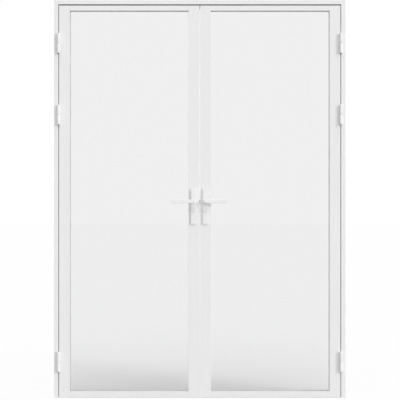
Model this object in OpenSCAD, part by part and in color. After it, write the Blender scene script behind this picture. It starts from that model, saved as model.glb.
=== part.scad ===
// Glazed double door in a three-sided frame.
// Origin: on the floor, midway between the jambs, in the middle plane of the closed leaves.
// X runs to the right, Y away from the hinge side, Z up. Left-hand pieces mirror the right-hand ones.

/* [Frame] */
// Overall width of the frame
frame_w = 1530; // [1300:5:1900]
// Overall height of the frame
frame_h = 2090; // [2000:5:2400]
// Face width of the jambs and head
frame_face = 22.5; // [20:0.5:40]
// Wall of the frame profile
frame_wall = 2; // [1.5:0.1:3]
// How far the stop laps behind the leaf edge
stop_lap = 14; // [11:0.5:20]
// Depth of the stop behind the leaf
stop_d = 16; // [12:0.5:30]
// Room between the leaf and the stop
stop_gap = 4; // [3:0.5:6]
// Width of the gasket groove in the stop
groove_w = 4; // [3:0.5:5]
// Depth of the gasket groove in the stop
groove_d = 3; // [2:0.5:4]
// Radius of the fixing holes through the jambs
fixing_r = 5; // [3:0.5:6]
// Distance of the outer fixing holes from the ends of the jambs
fixing_end = 250; // [150:5:350]
// Spacing of the two fixing holes in a pair
fixing_pitch = 550; // [300:10:600]

/* [Leaves] */
// Thickness of a leaf
leaf_t = 44; // [40:1:70]
// Gap between leaf and jamb
side_gap = 3.5; // [2.5:0.1:5]
// Gap between leaf and head
top_gap = 6; // [4:0.1:8]
// Gap between the two leaves
meeting_gap = 4; // [3.8:0.1:6]
// Gap between leaf and floor
floor_gap = 4; // [3:0.1:10]
// Width of the stile tube
stile_tube = 45; // [43:0.5:60]
// Height of the top rail tube
top_tube = 15; // [12:0.5:60]
// Height of the bottom rail tube
bottom_tube = 20; // [12:0.5:120]
// Wall of the leaf profiles
leaf_wall = 2; // [1.5:0.1:3]
// Clearance between the bottom seal and the floor
seal_floor_clear = 1; // [0.5:0.1:2]
// Depth of the bottom seal, front to back
seal_d = 12; // [8:0.5:20]

/* [Glazing] */
// Thickness of the glass
glass_t = 8; // [6:0.5:12]
// Width of the lip that laps the glass
lip_w = 12; // [10:0.5:18]
// Thickness of a glazing gasket
gasket_t = 4; // [3:0.5:5]
// Room round the edge of the glass
glass_clear = 3; // [2:0.5:4]
// Wall of the glazing beads
bead_wall = 1.5; // [1:0.1:2]
// Length of a setting block
block_l = 100; // [60:5:150]

/* [Hinges] */
// Radius of the hinge barrels
hinge_r = 8.25; // [7:0.25:9]
// Length of a closed hinge
hinge_l = 105; // [80:1:140]
// Distance of the top hinge below the top of the leaf
hinge_top_drop = 199; // [120:1:260]
// Distance of the middle hinge below the top hinge
hinge_middle_drop = 375; // [250:5:700]
// Distance of the bottom hinge above the foot of the leaf
hinge_bottom_rise = 187; // [120:1:260]
// Radius of the hinge pin
pin_r = 4; // [3:0.25:5]
// Room between a barrel and the face behind it
barrel_clear = 0.5; // [0.3:0.1:1]
// Thickness of the bearing collar between the two barrels of a hinge
collar_t = 1; // [0.5:0.1:2]

/* [Handles] */
// Height of the lever axis
lever_z = 1033; // [950:1:1100]
// Distance of the lever axis from the meeting edge
backset = 29; // [28:0.5:30]
// Width of a handle plate
plate_w = 30; // [29:0.5:36]
// Length of a handle plate
plate_h = 185; // [160:1:220]
// Height of the plate above the lever axis
plate_above = 65; // [64:1:75]
// Thickness of a handle plate
plate_t = 9; // [7:0.5:12]
// Radius of the plate corners
plate_corner_r = 3; // [1:0.5:6]
// Radius of the lever's round neck
lever_neck_r = 9; // [8:0.25:10]
// Height of the lever's flat bar
lever_h = 19; // [18:0.5:24]
// Thickness of the lever's flat bar
lever_t = 9; // [7:0.5:12]
// Radius of the bar's long edges
lever_edge_r = 2.5; // [1:0.25:3]
// Length of the lever from its axis to the tip
lever_l = 120; // [100:1:150]
// Distance of the bar's centre from the leaf face
lever_out = 36; // [34:1:70]
// Width of the square spindle
spindle_w = 8; // [7:0.5:9]

/* [Lock] */
// Distance of the cylinder below the lever
cylinder_drop = 40; // [38:0.5:48]
// Radius of the cylinder body
cylinder_r = 13; // [12:0.25:13.5]
// How far the cylinder stands out of the plate
cylinder_out = 6; // [4:0.5:10]
// Radius of the key plug
plug_r = 7; // [6:0.25:8]
// Width of the thumb turn
turn_w = 11; // [9:0.5:13]
// Height of the thumb turn
turn_h = 26; // [20:0.5:30]
// How far the thumb turn stands out of the cylinder
turn_out = 16; // [12:0.5:20]
// Thickness of the lock case
case_t = 16; // [14:0.5:20]
// Depth of the lock case behind its forend
case_d = 37; // [35:0.5:38]
// Wall of the lock case
case_wall = 1.5; // [1:0.1:2]
// Thickness of the forend
forend_t = 3; // [2.5:0.1:4]
// Width of the forend
forend_w = 20; // [18:0.5:24]
// How far the forend runs past the case at each end
forend_over = 16; // [12:1:25]
// How far the latch stands out of the leaf
latch_out = 12; // [9:0.5:13]
// Thickness of the latch and the dead bolt
bolt_t = 10; // [8:0.5:11]
// Height of the latch
latch_h = 16; // [12:0.5:20]
// Length of the dead bolt
deadbolt_l = 33; // [30:0.5:34]
// Radius of the top bolt rod
rod_r = 4; // [3:0.25:5]
// How far the top bolt stands above the leaf
rod_out = 13; // [11:0.5:16]

/* [Hidden] */

$fn = 48;
// Overrun of cutting shapes
over = 1;
// Running clearance of pins and shafts, on the radius
run_clear = 0.05;
// Clearance of let-in plates and of sliding bolts, all round
slip_clear = 0.15;

white = "whitesmoke";
pale = "gainsboro";
steel = "silver";
clear_glass = [0.85, 0.92, 0.92, 0.4];

// Places of the leaf's faces and of the right leaf's edges
front = -leaf_t / 2;
back = leaf_t / 2;
leaf_x0 = meeting_gap / 2;
leaf_x1 = frame_w / 2 - frame_face - side_gap;
leaf_z0 = floor_gap;
leaf_z1 = frame_h - frame_face - top_gap;
inner_x0 = leaf_x0 + stile_tube;
inner_x1 = leaf_x1 - stile_tube;
inner_z0 = leaf_z0 + bottom_tube;
inner_z1 = leaf_z1 - top_tube;
lip_d = (leaf_t - glass_t) / 2 - gasket_t;

// Frame profile
stop_front = back + stop_gap;
frame_back = stop_front + stop_d;
stop_w = side_gap + stop_lap;
stop_web = groove_d + frame_wall;
groove_u = frame_face + stop_w - stop_lap / 2;
gasket_tip_w = groove_w / 2;
gasket_clear = 0.3;
reach = frame_face + stop_w + over;
fixing_zs = [for (inset = [fixing_end, fixing_end + fixing_pitch]) for (z = [inset, frame_h - inset]) z];

// Head strike
strike_w = 40;
strike_d = 22;
strike_t = 3;
rod_x = leaf_x0 + backset / 2;

// Hinges
hinge_x = frame_w / 2 - frame_face - side_gap / 2;
hinge_y = front - hinge_r - barrel_clear;
hinge_top_z = leaf_z1 - hinge_top_drop;
hinge_middle_z = hinge_top_z - hinge_middle_drop;
hinge_bottom_z = leaf_z0 + hinge_bottom_rise;
hinge_zs = [hinge_top_z, hinge_middle_z, hinge_bottom_z];
half_l = (hinge_l - collar_t) / 2;
barrel_chamfer = 1.5;
pin_end = 10;
neck_in = 0.75;
neck_w = 5.5;
neck_end = 5;
stud_r = 2.5;
stud_l = 12;
stud_end = 15;
wing_clear = 0.2;

// Handles
lever_x = leaf_x0 + backset;
plate_front = front - plate_t;
bar_y = front - lever_out;
neck_root = front - leaf_wall / 2;
socket_d = lever_out * 2 / 3;
bar_l = lever_l - lever_h / 2;
screw_r = 2;
screw_head_r = 4;
screw_head_t = 2.5;
screw_in = 10;
screw_zs = [lever_z + plate_above - screw_in, lever_z + plate_above - plate_h + screw_in];
ring_w = (plate_w - 2 * cylinder_r) / 2 - slip_clear;

// Lock
cylinder_z = lever_z - cylinder_drop;
case_x0 = leaf_x0 + forend_t;
case_x1 = case_x0 + case_d;
case_room = 5;
case_z0 = screw_zs[1] + screw_r + case_room;
case_z1 = screw_zs[0] - screw_r - case_room;
hub_r = 8;
bolt_space = cylinder_z - cylinder_r - case_z0 - case_wall;
deadbolt_h = bolt_space / 2;
deadbolt_z = case_z0 + case_wall + bolt_space / 2;
latch_tail = 7;
latch_flat = 3;
keyway_w = 2;
keyway_h = 9;
keyway_d = 12;
cylinder_end = plate_front - cylinder_out;
cylinder_edge = 1;
turn_corner_r = turn_w / 2;
rod_in = 12;
guide_h = 25;

// Shared shapes

// Draws its children for the right side, or mirrored for the left
module on_side(side) {
    mirror([side == "left" ? 1 : 0, 0, 0]) children();
}

// Box between two corners
module span(low, high) {
    translate(low) cube(high - low);
}

// Round bar along Y between two places
module y_bar(r, y0, y1) {
    translate([0, y0, 0]) rotate([-90, 0, 0]) cylinder(r = r, h = y1 - y0);
}

// Rectangle between two corners
module patch(low, high) {
    translate(low) square(high - low);
}

// Rectangle with round corners, centred
module round_patch(w, h, r) {
    square([w - 2 * r, h], center = true);
    square([w, h - 2 * r], center = true);
    for (x = [-1, 1], z = [-1, 1]) translate([x * (w / 2 - r), z * (h / 2 - r)]) circle(r);
}

// Upright of the frame on the right, mitred at the top corner, from a section measured in from the outer face
module upright() {
    difference() {
        translate([frame_w / 2, 0, 0]) linear_extrude(frame_h) mirror([1, 0]) children();
        mitre() polygon([[over, over], [-reach, -reach], [-reach, over]]);
    }
}

// Crossbar of the frame, mitred at both top corners
module crossbar() {
    difference() {
        translate([-frame_w / 2, 0, frame_h]) rotate([0, 90, 0]) linear_extrude(frame_w) children();
        for (side = ["left", "right"])
            on_side(side) mitre() polygon([[over, over], [-reach, -reach], [over, -reach]]);
    }
}

// Cutter through the right top corner from an outline drawn round that corner
module mitre() {
    translate([frame_w / 2, frame_back + over, frame_h]) rotate([90, 0, 0])
        linear_extrude(frame_back - front + 2 * over) children();
}

// Hollow section of the jambs and head, with the stop and its gasket groove
module frame_section() {
    difference() {
        union() {
            patch([0, front], [frame_face, frame_back]);
            patch([0, stop_front], [frame_face + stop_w, frame_back]);
        }
        patch([frame_wall, front + frame_wall], [frame_face - frame_wall, frame_back - frame_wall]);
        patch([frame_face, stop_front + stop_web], [frame_face + stop_w - frame_wall, frame_back - frame_wall]);
        patch([groove_u - groove_w / 2, stop_front - over], [groove_u + groove_w / 2, stop_front + groove_d]);
    }
}

// Section of the rebate gasket: a stem in the groove and a tapering lip
module gasket_section() {
    patch([groove_u - groove_w / 2, stop_front], [groove_u + groove_w / 2, stop_front + groove_d]);
    polygon([
        [groove_u - groove_w / 2, stop_front],
        [groove_u + groove_w / 2, stop_front],
        [groove_u + gasket_tip_w / 2, back + gasket_clear],
        [groove_u - gasket_tip_w / 2, back + gasket_clear]
    ]);
}

// Hollow section of a leaf profile, measured in from its outer edge: a tube and a hollow glazing lip
module leaf_section(tube) {
    difference() {
        union() {
            patch([0, front], [tube, back]);
            patch([0, front], [tube + lip_w, front + lip_d]);
        }
        patch([leaf_wall, front + leaf_wall], [tube - leaf_wall, back - leaf_wall]);
        patch([tube, front + leaf_wall], [tube + lip_w - leaf_wall, front + lip_d - leaf_wall]);
    }
}

// Rail between the stiles, coped round their lips
module rail(tube) {
    difference() {
        translate([inner_x0, 0, 0]) rotate([0, 90, 0]) linear_extrude(inner_x1 - inner_x0) leaf_section(tube);
        for (ends = [[inner_x0 - over, inner_x0 + lip_w], [inner_x1 - lip_w, inner_x1 + over]])
            span(
                [ends[0], front - over, -tube - lip_w - over],
                [ends[1], front + lip_d, over]
            );
    }
}

// Hinge barrel half standing on its inner end, with a chamfered outer end and a bore for the pin
module barrel(bore_r, bore_l) {
    rotate_extrude() polygon([
        [bore_r, 0],
        [hinge_r, 0],
        [hinge_r, half_l - barrel_chamfer],
        [hinge_r - barrel_chamfer, half_l],
        [0, half_l],
        [0, bore_l],
        [bore_r, bore_l]
    ]);
}

// Neck behind a barrel half and its two studs, on the side that the sign gives
module hinge_neck(sign) {
    near = side_gap / 2 + neck_in;
    middle = near + neck_w / 2;
    bore_room = pin_r + run_clear;
    difference() {
        span(
            [sign > 0 ? near : -near - neck_w, 0, neck_end],
            [sign > 0 ? near + neck_w : -near, front - hinge_y, half_l - neck_end]
        );
        translate([0, 0, neck_end - over]) cylinder(r = bore_room, h = half_l);
    }
    for (z = [stud_end, half_l - stud_end])
        translate([sign * middle, 0, z]) y_bar(stud_r, front - hinge_y - over, front - hinge_y + stud_l);
}

// Clearance holes for the studs of one hinge half
module stud_holes(sign) {
    middle = side_gap / 2 + neck_in + neck_w / 2;
    for (c = hinge_zs, z = [stud_end, half_l - stud_end])
        translate([hinge_x + sign * middle, 0, c - sign * (collar_t / 2 + z)])
            y_bar(stud_r + run_clear, front - over, front + stud_l + over);
}

// Outline of a handle plate, seen from the front
module plate_outline() {
    translate([lever_x, lever_z + plate_above - plate_h / 2]) round_patch(plate_w, plate_h, plate_corner_r);
}

// Handle plate lying on the front face, with its collar round the cylinder
module plate() {
    difference() {
        union() {
            translate([0, front, 0]) rotate([90, 0, 0]) linear_extrude(plate_t) plate_outline();
            translate([lever_x, 0, cylinder_z]) y_bar(cylinder_r + ring_w, cylinder_end, plate_front + over);
        }
        translate([lever_x, 0, lever_z]) y_bar(lever_neck_r + run_clear, plate_front - over, front + over);
        translate([lever_x, 0, cylinder_z]) y_bar(cylinder_r + slip_clear, cylinder_end - over, front + over);
    }
}

// Round end of the lever's bar, a half disc with the edges of the bar
module bar_end(turn) {
    rotate([90, turn, 0]) rotate_extrude(angle = 180) intersection() {
        round_patch(lever_h, lever_t, lever_edge_r);
        patch([0, -lever_t / 2], [lever_h / 2, lever_t / 2]);
    }
}

// Lever on the front: a round neck in the plate and a flat bar with round ends
module lever() {
    difference() {
        translate([lever_x, 0, lever_z]) {
            y_bar(lever_neck_r, bar_y, neck_root);
            translate([0, bar_y, 0]) {
                bar_end(-90);
                translate([bar_l, 0, 0]) bar_end(90);
                rotate([90, 0, 90]) linear_extrude(bar_l) round_patch(lever_t, lever_h, lever_edge_r);
            }
        }
        spindle_bar(run_clear);
    }
}

// Square bar through both levers, grown all round by a clearance
module spindle_bar(clear) {
    size = spindle_w / 2 + clear;
    span(
        [lever_x - size, front - socket_d + plate_t - clear, lever_z - size],
        [lever_x + size, back + socket_d - plate_t + clear, lever_z + size]
    );
}

// Hollow case let in behind the forend, open where the bolts pass
module case_box() {
    difference() {
        span([case_x0, -case_t / 2, case_z0], [case_x1, case_t / 2, case_z1]);
        span(
            [case_x0 + case_wall, case_wall - case_t / 2, case_z0 + case_wall],
            [case_x1 - case_wall, case_t / 2 - case_wall, case_z1 - case_wall]
        );
        bolt_windows(case_x0 - over, case_x0 + case_wall + over);
        translate([lever_x, 0, lever_z]) y_bar(hub_r + run_clear, -case_t, case_t);
        translate([lever_x, 0, cylinder_z]) y_bar(cylinder_r + slip_clear, -case_t, case_t);
    }
}

// Cutters for the latch and the dead bolt between two places along X
module bolt_windows(x0, x1) {
    for (b = [[lever_z, latch_h], [deadbolt_z, deadbolt_h]])
        span(
            [x0, -bolt_t / 2 - slip_clear, b[0] - b[1] / 2 - slip_clear],
            [x1, bolt_t / 2 + slip_clear, b[0] + b[1] / 2 + slip_clear]
        );
}

// Forend plate grown all round by a clearance
module forend_plate(clear) {
    span(
        [leaf_x0 - clear, -forend_w / 2 - clear, case_z0 - forend_over - clear],
        [leaf_x0 + forend_t, forend_w / 2 + clear, case_z1 + forend_over + clear]
    );
}

// Frame

module frame_head() {
    color(white) difference() {
        crossbar() frame_section();
        span(
            [-rod_x - strike_w / 2 - slip_clear, -strike_d / 2 - slip_clear, frame_h - frame_face - over],
            [-rod_x + strike_w / 2 + slip_clear, strike_d / 2 + slip_clear, frame_h - frame_face + strike_t]
        );
    }
}

module jamb(side) {
    color(white) on_side(side) difference() {
        upright() frame_section();
        stud_holes(1);
        for (z = fixing_zs)
            translate([frame_w / 2, 0, z]) rotate([0, 90, 0])
                cylinder(r = fixing_r, h = 2 * frame_face + 2 * over, center = true);
    }
}

module frame_gasket() {
    color(pale) {
        crossbar() gasket_section();
        for (side = ["left", "right"]) on_side(side) upright() gasket_section();
    }
}

module head_strike() {
    color(steel) difference() {
        span(
            [-rod_x - strike_w / 2, -strike_d / 2, frame_h - frame_face],
            [-rod_x + strike_w / 2, strike_d / 2, frame_h - frame_face + strike_t]
        );
        translate([-rod_x, 0, frame_h - frame_face - over]) cylinder(r = rod_r + slip_clear, h = strike_t + 2 * over);
    }
}

module hinge_base(side, c) {
    color(white) on_side(side) translate([hinge_x, hinge_y, c - collar_t / 2]) mirror([0, 0, 1]) {
        barrel(pin_r + run_clear, half_l - pin_end);
        hinge_neck(1);
    }
}

module hinge_wing(side, c) {
    color(white) on_side(side) translate([hinge_x, hinge_y, c + collar_t / 2 + wing_clear]) {
        barrel(pin_r + run_clear, half_l - pin_end);
        hinge_neck(-1);
    }
}

module hinge_pins() {
    color(steel) for (side = ["left", "right"], c = hinge_zs)
        on_side(side) translate([hinge_x, hinge_y, c]) {
            translate([0, 0, pin_end - hinge_l / 2]) cylinder(r = pin_r, h = hinge_l - 2 * pin_end);
            translate([0, 0, -collar_t / 2]) cylinder(r = hinge_r - barrel_chamfer, h = collar_t);
        }
}

// Leaf

module hinge_stile(side) {
    color(white) on_side(side) difference() {
        translate([leaf_x1, 0, leaf_z0]) linear_extrude(leaf_z1 - leaf_z0) mirror([1, 0]) leaf_section(stile_tube);
        stud_holes(-1);
    }
}

module meeting_stile(side) {
    color(white) on_side(side) difference() {
        translate([leaf_x0, 0, leaf_z0]) linear_extrude(leaf_z1 - leaf_z0) leaf_section(stile_tube);
        forend_plate(slip_clear);
        translate([lever_x, 0, lever_z]) y_bar(hub_r, front - over, back + over);
        translate([lever_x, 0, cylinder_z]) y_bar(cylinder_r + slip_clear, front - over, back + over);
        for (z = screw_zs) translate([lever_x, 0, z]) y_bar(screw_r + slip_clear, front - over, back + over);
    }
}

module top_rail(side) {
    color(white) on_side(side) translate([0, 0, leaf_z1]) rail(top_tube);
}

module bottom_rail(side) {
    color(white) on_side(side) translate([0, 0, leaf_z0]) mirror([0, 0, 1]) rail(bottom_tube);
}

module glass(side) {
    color(clear_glass) on_side(side) span(
        [inner_x0 + glass_clear, -glass_t / 2, inner_z0 + glass_clear],
        [inner_x1 - glass_clear, glass_t / 2, inner_z1 - glass_clear]
    );
}

// Hollow bead section in the corner between tube and lip
module bead_section() {
    low = glass_t / 2 + gasket_t;
    difference() {
        patch([0, low], [lip_w, back]);
        patch([bead_wall, low + bead_wall], [lip_w - bead_wall, back - bead_wall]);
    }
}

module glazing_beads(side) {
    bead_x0 = inner_x0 + lip_w + slip_clear;
    bead_l = inner_x1 - lip_w - slip_clear - bead_x0;
    color(white) on_side(side) {
        translate([inner_x0, 0, inner_z0]) linear_extrude(inner_z1 - inner_z0) bead_section();
        translate([inner_x1, 0, inner_z0]) linear_extrude(inner_z1 - inner_z0) mirror([1, 0]) bead_section();
        translate([bead_x0, 0, inner_z1]) rotate([0, 90, 0]) linear_extrude(bead_l) bead_section();
        translate([bead_x0, 0, inner_z0]) mirror([0, 0, 1]) rotate([0, 90, 0])
            linear_extrude(bead_l) bead_section();
    }
}

module glazing_gaskets(side) {
    hem = lip_w / 4;
    color(pale) on_side(side) for (y = [-glass_t / 2 - gasket_t, glass_t / 2])
        difference() {
            span(
                [inner_x0 + glass_clear, y, inner_z0 + glass_clear],
                [inner_x1 - glass_clear, y + gasket_t, inner_z1 - glass_clear]
            );
            span(
                [inner_x0 + lip_w - hem / 2, y - over, inner_z0 + lip_w - hem / 2],
                [inner_x1 - lip_w + hem / 2, y + gasket_t + over, inner_z1 - lip_w + hem / 2]
            );
        }
}

module setting_blocks(side) {
    quarter = (inner_x1 - inner_x0) / 4;
    color(pale) on_side(side) for (x = [inner_x0 + quarter, inner_x1 - quarter])
        span(
            [x - block_l / 2, -glass_t / 2 - gasket_t / 2, inner_z0],
            [x + block_l / 2, glass_t / 2 + gasket_t / 2, inner_z0 + glass_clear]
        );
}

module bottom_seal(side) {
    color(pale) on_side(side) span(
        [leaf_x0 + leaf_wall, front + leaf_wall, seal_floor_clear],
        [leaf_x1 - leaf_wall, front + leaf_wall + seal_d, leaf_z0]
    );
}

// Handles and lock

module front_plate(side) {
    color(white) on_side(side) difference() {
        plate();
        for (z = screw_zs) translate([lever_x, 0, z]) y_bar(screw_r, front - plate_t / 2, front + over);
    }
}

module back_plate(side) {
    color(white) on_side(side) difference() {
        mirror([0, 1, 0]) plate();
        for (z = screw_zs) translate([lever_x, 0, z]) {
            y_bar(screw_r + slip_clear, back - over, back + plate_t + over);
            y_bar(screw_head_r + slip_clear, back + plate_t - screw_head_t, back + plate_t + over);
        }
    }
}

module plate_screws(side) {
    color(steel) on_side(side) for (z = screw_zs) translate([lever_x, 0, z]) {
        y_bar(screw_r, front - plate_t / 2, back + plate_t);
        y_bar(screw_head_r, back + plate_t - screw_head_t, back + plate_t);
    }
}

module lock_case(side) {
    color(steel) on_side(side) difference() {
        case_box();
        if (side == "left")
            translate([rod_x, 0, case_z1 - case_wall - over])
                cylinder(r = rod_r + run_clear, h = case_wall + 2 * over);
    }
}

module forend(side) {
    color(steel) on_side(side) difference() {
        forend_plate(0);
        bolt_windows(leaf_x0 - over, leaf_x0 + forend_t + over);
    }
}

module cylinder_body(side) {
    end = -cylinder_end;
    color(white) on_side(side) translate([lever_x, -end, cylinder_z]) rotate([-90, 0, 0]) rotate_extrude() polygon([
        [plug_r + run_clear, 0],
        [cylinder_r - cylinder_edge, 0],
        [cylinder_r, cylinder_edge],
        [cylinder_r, 2 * end - cylinder_edge],
        [cylinder_r - cylinder_edge, 2 * end],
        [plug_r + run_clear, 2 * end]
    ]);
}

module front_lever(side) {
    color(white) on_side(side) lever();
}

module back_lever(side) {
    color(white) on_side(side) mirror([0, 1, 0]) lever();
}

module spindle(side) {
    color(steel) on_side(side) spindle_bar(0);
}

module follower(side) {
    color(steel) on_side(side) difference() {
        translate([lever_x, 0, lever_z]) y_bar(hub_r, -case_t / 2, case_t / 2);
        spindle_bar(run_clear);
    }
}

module thumb_turn(side) {
    color(white) on_side(side) translate([lever_x, 0, cylinder_z]) {
        difference() {
            y_bar(plug_r, cylinder_end, -cylinder_end);
            span(
                [-keyway_w / 2, cylinder_end - over, -keyway_h / 2],
                [keyway_w / 2, cylinder_end + keyway_d, keyway_h / 2]
            );
        }
        translate([0, turn_out - cylinder_end, 0]) rotate([90, 0, 0]) linear_extrude(turn_out)
            round_patch(turn_w, turn_h, turn_corner_r - slip_clear);
    }
}

module right_latch_bolt() {
    tip = leaf_x0 - latch_out;
    tail = leaf_x0 + latch_tail;
    color(steel) translate([0, 0, lever_z - latch_h / 2]) linear_extrude(latch_h) polygon([
        [tail, -bolt_t / 2],
        [tip, -bolt_t / 2],
        [tip, latch_flat - bolt_t / 2],
        [leaf_x0 - latch_out / 4, bolt_t / 2],
        [tail, bolt_t / 2]
    ]);
}

module right_dead_bolt() {
    color(steel) span(
        [leaf_x0, -bolt_t / 2, deadbolt_z - deadbolt_h / 2],
        [leaf_x0 + deadbolt_l, bolt_t / 2, deadbolt_z + deadbolt_h / 2]
    );
}

module left_top_bolt() {
    foot = case_z1 - rod_in;
    color(steel) translate([-rod_x, 0, foot]) cylinder(r = rod_r, h = leaf_z1 + rod_out - foot);
}

module left_bolt_guide() {
    room = leaf_wall + slip_clear;
    color(pale) on_side("left") difference() {
        span(
            [leaf_x0 + room, front + room, leaf_z1 - guide_h],
            [leaf_x0 + stile_tube - room, back - room, leaf_z1]
        );
        translate([rod_x, 0, leaf_z1 - guide_h - over]) cylinder(r = rod_r + run_clear, h = guide_h + 2 * over);
    }
}

frame_head();
jamb("left");  // left_jamb
jamb("right");  // right_jamb
frame_gasket();
head_strike();
hinge_pins();
right_latch_bolt();
right_dead_bolt();
left_top_bolt();
left_bolt_guide();
for (side = ["left", "right"]) {
    hinge_base(side, hinge_top_z);
    hinge_base(side, hinge_middle_z);
    hinge_base(side, hinge_bottom_z);
    hinge_wing(side, hinge_top_z);
    hinge_wing(side, hinge_middle_z);
    hinge_wing(side, hinge_bottom_z);
    hinge_stile(side);
    meeting_stile(side);
    top_rail(side);
    bottom_rail(side);
    glass(side);
    glazing_beads(side);
    glazing_gaskets(side);
    setting_blocks(side);
    bottom_seal(side);
    front_plate(side);
    back_plate(side);
    plate_screws(side);
    lock_case(side);
    forend(side);
    cylinder_body(side);
    front_lever(side);
    back_lever(side);
    spindle(side);
    follower(side);
    thumb_turn(side);
}
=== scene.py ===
"""Looks of a white glazed double door in its frame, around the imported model.

Finishes, seals, floor, light and camera. Lengths are in metres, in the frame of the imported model:
X to the right, Y away from the camera, Z up.
"""
import math
from collections import namedtuple

import bmesh
import bpy
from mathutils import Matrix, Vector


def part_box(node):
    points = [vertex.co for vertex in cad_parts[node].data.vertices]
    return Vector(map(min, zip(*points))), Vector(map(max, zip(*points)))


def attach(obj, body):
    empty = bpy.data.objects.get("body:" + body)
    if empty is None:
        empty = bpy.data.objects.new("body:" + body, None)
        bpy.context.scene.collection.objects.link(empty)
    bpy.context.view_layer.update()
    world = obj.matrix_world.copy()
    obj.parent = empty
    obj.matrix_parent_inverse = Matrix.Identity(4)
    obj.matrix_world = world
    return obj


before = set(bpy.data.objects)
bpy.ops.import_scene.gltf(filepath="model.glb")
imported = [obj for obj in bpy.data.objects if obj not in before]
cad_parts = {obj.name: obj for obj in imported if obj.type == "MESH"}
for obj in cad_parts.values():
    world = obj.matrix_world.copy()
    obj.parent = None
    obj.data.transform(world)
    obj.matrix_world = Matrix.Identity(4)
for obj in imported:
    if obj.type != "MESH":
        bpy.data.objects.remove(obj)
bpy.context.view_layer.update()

WHITE = (1.0, 1.0, 1.0, 1.0)

# Camera: the photograph is square and looks straight at the front
VIEW_HEIGHT = 2.1005
CAMERA_DISTANCE = 5.5
CAMERA_X = 0.0014
CAMERA_Z = 1.040
SENSOR = 36.0

# Lamps, far away: how many degrees each is turned to the right of the camera's side and raised,
# and how wide it looks
Lamp = namedtuple("Lamp", "name azimuth elevation softness strength")
LAMPS = (
    Lamp("key", azimuth=52, elevation=15, softness=18, strength=1.07),
    Lamp("top", azimuth=30, elevation=61, softness=98, strength=1.58),
    Lamp("back", azimuth=200, elevation=38, softness=40, strength=0.28),
)

# Sky: its strength as a light, and how much of the white is seen through the glass
SKY_STRENGTH = 0.385
SKY_THROUGH_GLASS = 0.792

# Floor: its tone as it lights the object and as it is looked at, and how much of what each kind of
# ray sees is plain white, the rest being its lit and shaded surface
FLOOR_RADIUS = 40.0
FLOOR_SIDES = 96
FLOOR_TONE = (0.62, 0.62, 0.62, 1.0)
FLOOR_TONE_SEEN = (0.885, 0.885, 0.885, 1.0)
FLOOR_ROUGHNESS = 0.9
FLOOR_WHITE_CAMERA = 0.93
FLOOR_WHITE_GLOSSY = 0.93
FLOOR_WHITE_GLASS = 0.0

# Noise: how finely it is broken up, and the part of its values that is spread over a range
CLOUD_DETAIL = 3.0
GRAIN_DETAIL = 2.0
NOISE_LOW = 0.3
NOISE_HIGH = 0.7

# Coated and moulded surfaces: ranges of tone and roughness, a relief, and the scale of the noise
# behind each, in grains per metre
Surface = namedtuple("Surface", "tones tone_scale roughness roughness_scale "
                                "relief_scale relief_strength relief_depth")
POWDER_COAT = Surface(tones=(0.868, 0.884), tone_scale=3.0,
                      roughness=(0.40, 0.50), roughness_scale=14.0,
                      relief_scale=650.0, relief_strength=0.10, relief_depth=0.0004)
SATIN_LACQUER = Surface(tones=(0.895, 0.915), tone_scale=25.0,
                        roughness=(0.26, 0.34), roughness_scale=60.0,
                        relief_scale=900.0, relief_strength=0.05, relief_depth=0.0003)
PALE_RUBBER = Surface(tones=(0.80, 0.86), tone_scale=60.0,
                      roughness=(0.65, 0.80), roughness_scale=90.0,
                      relief_scale=1800.0, relief_strength=0.2, relief_depth=0.0002)
# Dark rubber: painted shade, for the seal and plugs that darken the gap over the leaves and the
# places under the hinges, where there is only shade
SHADE_DARK_RUBBER = PALE_RUBBER._replace(tones=(0.10, 0.14))

# Steel: fine lines drawn along Z
STEEL_TONES = (0.58, 0.68)
STEEL_TONE_SCALE = 40.0
STEEL_ROUGHNESS = (0.24, 0.40)
LINE_SCALE = 2200.0
LINE_STRETCH = (1.0, 1.0, 0.04)
LINE_STRENGTH = 0.08
LINE_DEPTH = 0.0002

# Glass: a long, soft wave
GLASS_COLOUR = (0.985, 0.988, 0.986, 1.0)
GLASS_IOR = 1.5
GLASS_ROUGHNESS = (0.0, 0.006)
GLASS_ROUGHNESS_SCALE = 6.0
WAVE_SCALE = 3.0
WAVE_DETAIL = 0.0
WAVE_STRENGTH = 0.05
WAVE_DEPTH = 0.002

# Edges of the solids that catch the light: their radius on each kind of piece
PROFILE_EDGE = 0.0008
FITTING_EDGE = 0.0006
STEEL_EDGE = 0.0003
NO_EDGE = 0.0
WELD_REACH = 1e-5
EDGE_ANGLE = math.radians(40)
EDGE_SEGMENTS = 2

# Face width of the jambs and the head
FRAME_FACE = 0.0225

# Seal in the gap over the leaves: a round bead under the head, set back from its front, in dark
# rubber that paints the shade in the gap
HEAD_SEAL_BACK = 0.001
HEAD_SEAL_WIDTH = 0.008
HEAD_SEAL_DROP = 0.0038

# Seal in the gap between the leaves: a round bead on the left leaf's edge, set back from its front
MEETING_SEAL_BACK = 0.001
MEETING_SEAL_WIDTH = 0.006
MEETING_SEAL_REACH = 0.0012
SEAL_STEPS = 14

# Plugs under the frame halves of the hinges: radius and drop pairs from the middle out
PLUG_PROFILE = ((0.0, 0.0018), (0.0034, 0.0017), (0.0047, 0.0013), (0.0054, 0.0006), (0.0056, 0.0))
PLUG_SIDES = 28

# The most corners of a face that is shaded smooth: the ends of a bead have more, and stay flat
SMOOTH_CORNERS = 4


def add_node(tree, kind, **values):
    """A new node, with its named input sockets set."""
    node = tree.nodes.new(kind)
    for name, value in values.items():
        node.inputs[name.replace("_", " ")].default_value = value
    return node


def add_math(tree, operation):
    """A new node for one sum."""
    node = tree.nodes.new("ShaderNodeMath")
    node.operation = operation
    return node


def new_material(name):
    """A material with only an output and a Principled shader: itself, its nodes and the shader."""
    material = bpy.data.materials.new(name)
    material.use_nodes = True
    tree = material.node_tree
    return material, tree, tree.nodes["Principled BSDF"]


def object_point(tree):
    """The socket that gives the place on the object, in metres."""
    return tree.nodes.new("ShaderNodeTexCoord").outputs["Object"]


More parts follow.
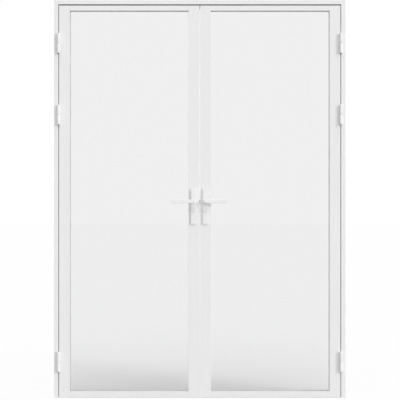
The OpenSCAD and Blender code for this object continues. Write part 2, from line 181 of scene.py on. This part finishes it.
def noise(tree, point, scale, detail=CLOUD_DETAIL):
    """A noise whose grains are about 1 / scale metres wide, as its value socket."""
    node = add_node(tree, "ShaderNodeTexNoise", Scale=scale, Detail=detail)
    tree.links.new(point, node.inputs["Vector"])
    return node.outputs["Fac"]


def roughen(tree, shader, value, limits):
    """Gives the shader a roughness between two limits, by a noise."""
    low, high = limits
    node = add_node(tree, "ShaderNodeMapRange",
                    From_Min=NOISE_LOW, From_Max=NOISE_HIGH, To_Min=low, To_Max=high)
    tree.links.new(value, node.inputs["Value"])
    tree.links.new(node.outputs["Result"], shader.inputs["Roughness"])


def tint(tree, shader, value, tones):
    """Gives the shader a grey between two tones, by a noise."""
    ramp = tree.nodes.new("ShaderNodeValToRGB")
    ends = zip(ramp.color_ramp.elements, (NOISE_LOW, NOISE_HIGH), tones)
    for element, position, tone in ends:
        element.position = position
        element.color = (tone, tone, tone, 1.0)
    tree.links.new(value, ramp.inputs["Fac"])
    tree.links.new(ramp.outputs["Color"], shader.inputs["Base Color"])


def emboss(tree, shader, height, strength, depth):
    """Gives the shader a relief, by a noise."""
    node = add_node(tree, "ShaderNodeBump", Strength=strength, Distance=depth)
    tree.links.new(height, node.inputs["Height"])
    tree.links.new(node.outputs["Normal"], shader.inputs["Normal"])


def surfaced(name, surface):
    """A coated or moulded material: a faintly clouded tone, an uneven gloss and a fine relief."""
    material, tree, shader = new_material(name)
    point = object_point(tree)
    tint(tree, shader, noise(tree, point, surface.tone_scale), surface.tones)
    roughen(tree, shader, noise(tree, point, surface.roughness_scale), surface.roughness)
    relief = noise(tree, point, surface.relief_scale, GRAIN_DETAIL)
    emboss(tree, shader, relief, surface.relief_strength, surface.relief_depth)
    return material


def clear_glass():
    """Clear float glass, faintly grey, with the long soft wave of a drawn sheet."""
    material, tree, shader = new_material("clear_glass")
    shader.inputs["Base Color"].default_value = GLASS_COLOUR
    shader.inputs["Transmission Weight"].default_value = 1.0
    shader.inputs["IOR"].default_value = GLASS_IOR
    point = object_point(tree)
    roughen(tree, shader, noise(tree, point, GLASS_ROUGHNESS_SCALE), GLASS_ROUGHNESS)
    emboss(tree, shader, noise(tree, point, WAVE_SCALE, WAVE_DETAIL), WAVE_STRENGTH, WAVE_DEPTH)
    return material


def brushed_steel():
    """Bright zinc-plated steel with fine drawn lines."""
    material, tree, shader = new_material("steel_brushed")
    shader.inputs["Metallic"].default_value = 1.0
    point = object_point(tree)
    stretch = add_node(tree, "ShaderNodeMapping", Scale=LINE_STRETCH)
    tree.links.new(point, stretch.inputs["Vector"])
    lines = noise(tree, stretch.outputs["Vector"], LINE_SCALE, GRAIN_DETAIL)
    tint(tree, shader, noise(tree, point, STEEL_TONE_SCALE), STEEL_TONES)
    roughen(tree, shader, lines, STEEL_ROUGHNESS)
    emboss(tree, shader, lines, LINE_STRENGTH, LINE_DEPTH)
    return material


def ray_share(tree, camera, glossy, glass):
    """A socket that is one of three shares for a camera, glossy or transmission ray, else zero.

    A ray that comes through glass counts as a glossy ray too, and one that has left a matt
    surface counts as neither.
    """
    path = tree.nodes.new("ShaderNodeLightPath")
    shares = {
        "Is Camera Ray": camera,
        "Is Glossy Ray": glossy,
        "Is Transmission Ray": glass - glossy,
    }
    total = None
    for output, share in shares.items():
        step = add_math(tree, "MULTIPLY_ADD")
        tree.links.new(path.outputs[output], step.inputs[0])
        step.inputs[1].default_value = share
        step.inputs[2].default_value = 0.0
        if total is not None:
            tree.links.new(total, step.inputs[2])
        total = step.outputs["Value"]
    fresh = add_math(tree, "SUBTRACT")
    fresh.use_clamp = True
    fresh.inputs[0].default_value = 1.0
    tree.links.new(path.outputs["Diffuse Depth"], fresh.inputs[1])
    seen = add_math(tree, "MULTIPLY")
    tree.links.new(total, seen.inputs[0])
    tree.links.new(fresh.outputs["Value"], seen.inputs[1])
    return seen.outputs["Value"]


def floor_material():
    """A pale floor that looks white and still takes the object's shade."""
    material, tree, shader = new_material("floor_pale")
    tone = add_node(tree, "ShaderNodeMixRGB", Color1=FLOOR_TONE, Color2=FLOOR_TONE_SEEN)
    looked_at = ray_share(tree, camera=1.0, glossy=1.0, glass=1.0)
    tree.links.new(looked_at, tone.inputs["Fac"])
    tree.links.new(tone.outputs["Color"], shader.inputs["Base Color"])
    shader.inputs["Specular IOR Level"].default_value = 0.0
    shader.inputs["Roughness"].default_value = FLOOR_ROUGHNESS
    glow = add_node(tree, "ShaderNodeEmission", Color=WHITE, Strength=1.0)
    whiteness = ray_share(tree, FLOOR_WHITE_CAMERA, FLOOR_WHITE_GLOSSY, FLOOR_WHITE_GLASS)
    mix = tree.nodes.new("ShaderNodeMixShader")
    tree.links.new(whiteness, mix.inputs["Fac"])
    tree.links.new(shader.outputs["BSDF"], mix.inputs[1])
    tree.links.new(glow.outputs["Emission"], mix.inputs[2])
    tree.links.new(mix.outputs["Shader"], tree.nodes["Material Output"].inputs["Surface"])
    return material


def soften(node, width):
    """Rounds the sharp edges of a solid by a small radius."""
    weld = node.modifiers.new("weld", "WELD")
    weld.merge_threshold = WELD_REACH
    bevel = node.modifiers.new("edges", "BEVEL")
    bevel.width = width
    bevel.segments = EDGE_SEGMENTS
    bevel.limit_method = "ANGLE"
    bevel.angle_limit = EDGE_ANGLE
    bevel.harden_normals = True


def add_piece(name, shape, material, body):
    """A new piece from a finished shape, which moves with a body."""
    mesh = bpy.data.meshes.new(name)
    bmesh.ops.recalc_face_normals(shape, faces=shape.faces)
    shape.to_mesh(mesh)
    shape.free()
    mesh.materials.append(material)
    smooth = [len(face.vertices) <= SMOOTH_CORNERS for face in mesh.polygons]
    mesh.polygons.foreach_set("use_smooth", smooth)
    piece = bpy.data.objects.new(name, mesh)
    bpy.context.scene.collection.objects.link(piece)
    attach(piece, body)


def bead_curve(width, reach):
    """Points of half an ellipse across a flat base: places along the base and out of it."""
    angles = [math.pi * step / SEAL_STEPS for step in range(SEAL_STEPS + 1)]
    return [(width / 2 * (1 - math.cos(angle)), reach * math.sin(angle)) for angle in angles]


def bead(ends):
    """A closed bar between two end outlines of the same number of points."""
    shape = bmesh.new()
    first, last = [[shape.verts.new(point) for point in end] for end in ends]
    for index, corner in enumerate(first):
        shape.faces.new((first[index - 1], corner, last[index], last[index - 1]))
    shape.faces.new(first)
    shape.faces.new(last)
    return shape


def add_plug(shape, x, y, z):
    """A domed plug under a place, added to a shape."""
    turns = [math.tau * side / PLUG_SIDES for side in range(PLUG_SIDES)]
    tip = shape.verts.new((x, y, z - PLUG_PROFILE[0][1]))
    inner = None
    for radius, drop in PLUG_PROFILE[1:]:
        ring = [
            shape.verts.new((x + radius * math.cos(turn), y + radius * math.sin(turn), z - drop))
            for turn in turns
        ]
        for index, corner in enumerate(ring):
            near = (tip,) if inner is None else (inner[index], inner[index - 1])
            shape.faces.new((ring[index - 1], corner) + near)
        inner = ring
    shape.faces.new(inner)


def add_lamp(lamp):
    """A soft light from far away."""
    light = bpy.data.objects.new(lamp.name, bpy.data.lights.new(lamp.name, "SUN"))
    light.data.energy = lamp.strength
    light.data.angle = math.radians(lamp.softness)
    tilt = math.pi / 2 - math.radians(lamp.elevation)
    light.rotation_euler = (tilt, 0.0, math.radians(lamp.azimuth))
    bpy.context.scene.collection.objects.link(light)


coat = surfaced("powder_coat_white", POWDER_COAT)
satin = surfaced("satin_white", SATIN_LACQUER)
pale_rubber = surfaced("rubber_pale", PALE_RUBBER)
shade_dark_rubber = surfaced("rubber_dark_painted_shade", SHADE_DARK_RUBBER)
steel = brushed_steel()
glass = clear_glass()

# Which finish and edge radius each solid takes, by the end of its name
FINISHES = (
    (coat, PROFILE_EDGE, ("frame_head", "jamb", "stile", "rail", "beads")),
    (coat, FITTING_EDGE, ("hinge_base", "hinge_wing")),
    (glass, FITTING_EDGE, ("glass",)),
    (pale_rubber, NO_EDGE, ("gasket", "gaskets", "blocks", "seal", "bolt_guide")),
    (satin, FITTING_EDGE, ("plate", "lever", "cylinder", "thumb_turn")),
    (steel, STEEL_EDGE,
     ("pins", "strike", "screws", "case", "forend", "spindle", "follower", "bolt")),
)

for name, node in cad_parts.items():
    for material, edge_width, endings in FINISHES:
        if name.endswith(endings):
            node.data.materials.clear()
            node.data.materials.append(material)
            if edge_width:
                soften(node, edge_width)

# Seal under the head, in dark rubber: painted shade that darkens the gap over the leaves
head_low, head_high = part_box("frame_head")
seal_front = head_low.y + HEAD_SEAL_BACK
seal_top = head_high.z - FRAME_FACE
seal_curve = bead_curve(HEAD_SEAL_WIDTH, HEAD_SEAL_DROP)
head_shade_seal = bead([
    [(x, seal_front + across, seal_top - out) for across, out in seal_curve]
    for x in (head_low.x + FRAME_FACE, head_high.x - FRAME_FACE)
])
add_piece("head_shade_seal", head_shade_seal, shade_dark_rubber, "frame")

# Seal between the leaves
stile_low, stile_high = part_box("left_meeting_stile")
seal_front = stile_low.y + MEETING_SEAL_BACK
seal_curve = bead_curve(MEETING_SEAL_WIDTH, MEETING_SEAL_REACH)
meeting_seal = bead([
    [(stile_high.x + out, seal_front + across, z) for across, out in seal_curve]
    for z in (stile_low.z, stile_high.z)
])
add_piece("meeting_seal", meeting_seal, pale_rubber, "left_leaf")

# Plugs under the hinges, in dark rubber: painted shade under the hinge barrels
shade_plugs = bmesh.new()
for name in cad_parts:
    if name.endswith("hinge_base"):
        low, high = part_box(name)
        barrel_radius = (high.x - low.x) / 2
        add_plug(shade_plugs, low.x + barrel_radius, low.y + barrel_radius, low.z)
add_piece("hinge_shade_plugs", shade_plugs, shade_dark_rubber, "frame")

# Floor
bpy.ops.mesh.primitive_circle_add(vertices=FLOOR_SIDES, radius=FLOOR_RADIUS, fill_type="NGON")
floor = bpy.context.object
floor.name = "floor"
floor.data.materials.append(floor_material())

# Sky: an even light, white where it is looked at
world = bpy.data.worlds.new("sky")
bpy.context.scene.world = world
world.use_nodes = True
sky = world.node_tree
background = sky.nodes["Background"]
background.inputs["Color"].default_value = WHITE
level = add_node(sky, "ShaderNodeMapRange", To_Min=SKY_STRENGTH, To_Max=1.0)
looked_at = ray_share(sky, camera=1.0, glossy=1.0, glass=SKY_THROUGH_GLASS)
sky.links.new(looked_at, level.inputs["Value"])
sky.links.new(level.outputs["Result"], background.inputs["Strength"])

for lamp in LAMPS:
    add_lamp(lamp)

# Camera
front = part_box("left_jamb")[0].y
camera = bpy.data.objects.new("camera", bpy.data.cameras.new("camera"))
camera.data.sensor_width = SENSOR
camera.data.lens = SENSOR * CAMERA_DISTANCE / VIEW_HEIGHT
camera.location = (CAMERA_X, front - CAMERA_DISTANCE, CAMERA_Z)
camera.rotation_euler = (math.pi / 2, 0.0, 0.0)
bpy.context.scene.collection.objects.link(camera)
bpy.context.scene.camera = camera

bpy.context.scene.view_settings.view_transform = "Standard"
